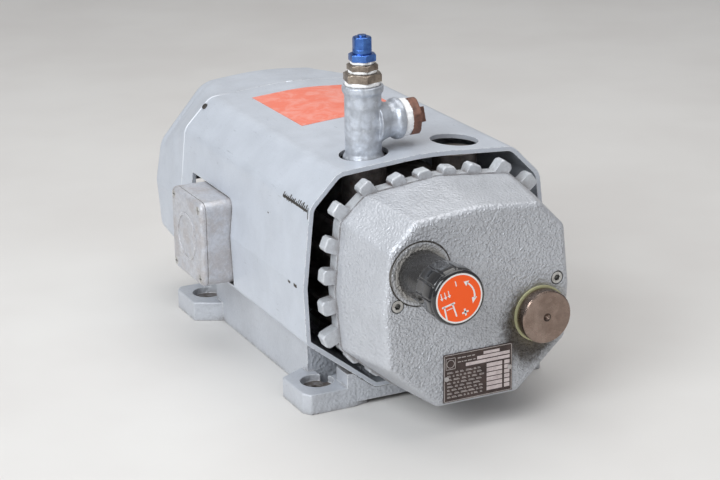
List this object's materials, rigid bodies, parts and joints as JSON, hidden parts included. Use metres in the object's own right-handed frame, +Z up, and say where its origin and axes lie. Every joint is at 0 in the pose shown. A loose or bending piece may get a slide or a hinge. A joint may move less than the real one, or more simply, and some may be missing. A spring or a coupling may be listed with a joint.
{
  "type": "rotary vane vacuum pump",
  "caption": "Motor-driven dry rotary vane vacuum pump in an octagonal cooling cowl, with a front filter cover, a regulating valve knob and an inlet tee.",
  "frame": {"origin": "centre of the rectangle of four foot holes, on the surface the feet stand on", "axes": "+Z up; +Y along the shaft from the pump head's cover to the fan; +X towards the side away from the terminal box"},
  "size_m": [0.2598, 0.525, 0.313],
  "materials": {
    "silver_cowl": "satin silver-grey paint, fine orange peel",
    "silver_casting": "silver paint over a sand casting",
    "hammer_silver": "silver hammer-tone paint",
    "bare_aluminium": "as cast, slightly dull",
    "cast_iron": "machined and oiled grey iron",
    "ground_steel": "ground",
    "zinc_steel": "zinc plated",
    "dark_steel": "oiled and slightly tarnished",
    "plug_steel": "turned steel, brown tarnish",
    "copper": "enamelled copper wire",
    "brass": "machined",
    "bronze": "dull brown",
    "carbon": "matt graphite carbon",
    "seal_rubber": "matt",
    "gasket": "oil-soaked sealing board",
    "black_plastic": "moulded, semi-gloss",
    "filter_paper": "pleated",
    "label_red": "faded film",
    "label_orange": "printed film",
    "nameplate": "etched dark plate with bare fields",
    "galvanised_iron": "hot-dip zinc, mottled",
    "blue_anodised": "blue anodised",
    "seal_tape": "white tape",
    "brown_iron": "brown lacquered iron with rust"
  },
  "bodies": {
    "pump": {"base_frame": "silver_casting", "cowl": "silver_cowl", "fan_cover": "silver_cowl", "casing_screws": "zinc_steel", "saddle_bolts": "zinc_steel", "top_label": "label_red", "front_cover": "hammer_silver", "cover_screws": "dark_steel", "cover_gasket": "gasket", "end_plate": "silver_casting", "pump_cylinder": "cast_iron", "head_bolts": "zinc_steel", "drive_flange": "cast_iron", "shaft_seal": "seal_rubber", "nameplate": "nameplate", "nameplate_rivets": "bare_aluminium", "bearing_outer_races": "ground_steel", "motor_housing": "bare_aluminium", "stator_core": "ground_steel", "stator_windings": "copper", "rear_shield": "bare_aluminium", "terminal_box": "bare_aluminium", "terminal_box_lid": "bare_aluminium", "lid_gasket": "seal_rubber", "lid_screws": "zinc_steel", "terminal_block": "black_plastic", "terminal_hardware": "brass", "cable_gland": "black_plastic", "valve_body": "black_plastic", "valve_seat": "brass", "valve_spring": "ground_steel", "filter_plug": "plug_steel", "plug_gasket": "gasket", "filter_cartridge": "filter_paper", "inlet_nipple": "galvanised_iron", "tee": "galvanised_iron", "hex_bush": "bronze", "small_bush": "bronze", "hose_fitting": "blue_anodised", "fitting_cap": "blue_anodised", "seal_tapes": "seal_tape", "side_plug": "brown_iron"},
    "rotating_shaft": {"shaft": "ground_steel", "shaft_keys_and_clip": "ground_steel", "pump_rotor": "cast_iron", "rotor_bolt_and_washer": "zinc_steel", "bearing_inner_races": "ground_steel", "motor_rotor": "ground_steel", "fan": "black_plastic"},
    "front_balls": {"front_bearing_balls": "ground_steel"},
    "rear_balls": {"rear_bearing_balls": "ground_steel"},
    "vane_1": {"vane_1": "carbon"},
    "vane_2": {"vane_2": "carbon"},
    "vane_3": {"vane_3": "carbon"},
    "vane_4": {"vane_4": "carbon"},
    "valve_knob": {"knob": "black_plastic", "knob_label": "label_orange", "spindle": "ground_steel"},
    "spring_nut": {"spring_seat": "brass"},
    "poppet": {"valve_disc": "brass"}
  },
  "joints": [
    {"name": "shaft_spin", "type": "hinge", "parent": "pump", "child": "rotating_shaft", "pos_m": [0, 0, 0.113], "axis": [0, 1, 0], "continuous": true},
    {"name": "front_balls_roll", "type": "hinge", "parent": "pump", "child": "front_balls", "pos_m": [0, 0, 0.113], "axis": [0, 1, 0], "continuous": true},
    {"name": "rear_balls_roll", "type": "hinge", "parent": "pump", "child": "rear_balls", "pos_m": [0, 0, 0.113], "axis": [0, 1, 0], "continuous": true},
    {"name": "vane_1_slide", "type": "slide", "parent": "rotating_shaft", "child": "vane_1", "axis": [0.7071, 0, 0.7071], "range_m": [-0.0015, 0.0014]},
    {"name": "vane_2_slide", "type": "slide", "parent": "rotating_shaft", "child": "vane_2", "axis": [0.7071, 0, -0.7071], "range_m": [-0.0015, 0.0014]},
    {"name": "vane_3_slide", "type": "slide", "parent": "rotating_shaft", "child": "vane_3", "axis": [-0.7071, 0, -0.7071], "range_m": [-0.0015, 0.0014]},
    {"name": "vane_4_slide", "type": "slide", "parent": "rotating_shaft", "child": "vane_4", "axis": [-0.7071, 0, 0.7071], "range_m": [-0.0015, 0.0014]},
    {"name": "knob_turn", "type": "hinge", "parent": "pump", "child": "valve_knob", "pos_m": [-0.053, -0.2715, 0.1445], "axis": [0, -1, 0], "range_deg": [0, 720]},
    {"name": "spring_nut_slide", "type": "slide", "parent": "pump", "child": "spring_nut", "axis": [0, 1, 0], "range_m": [0, 0.004], "deforming": ["valve_spring"]},
    {"name": "valve_lift", "type": "slide", "parent": "pump", "child": "poppet", "axis": [0, -1, 0], "range_m": [0, 0.003], "stiffness_N_per_m": 900, "springref_m": -0.004, "deforming": ["valve_spring"]}
  ],
  "couplings": [
    {"joint": "front_balls_roll", "follows": "shaft_spin", "ratio": 0.4},
    {"joint": "rear_balls_roll", "follows": "shaft_spin", "ratio": 0.3836},
    {"joint": "knob_turn", "follows": "spring_nut_slide", "rad_per_m": 3141.6}
  ]
}
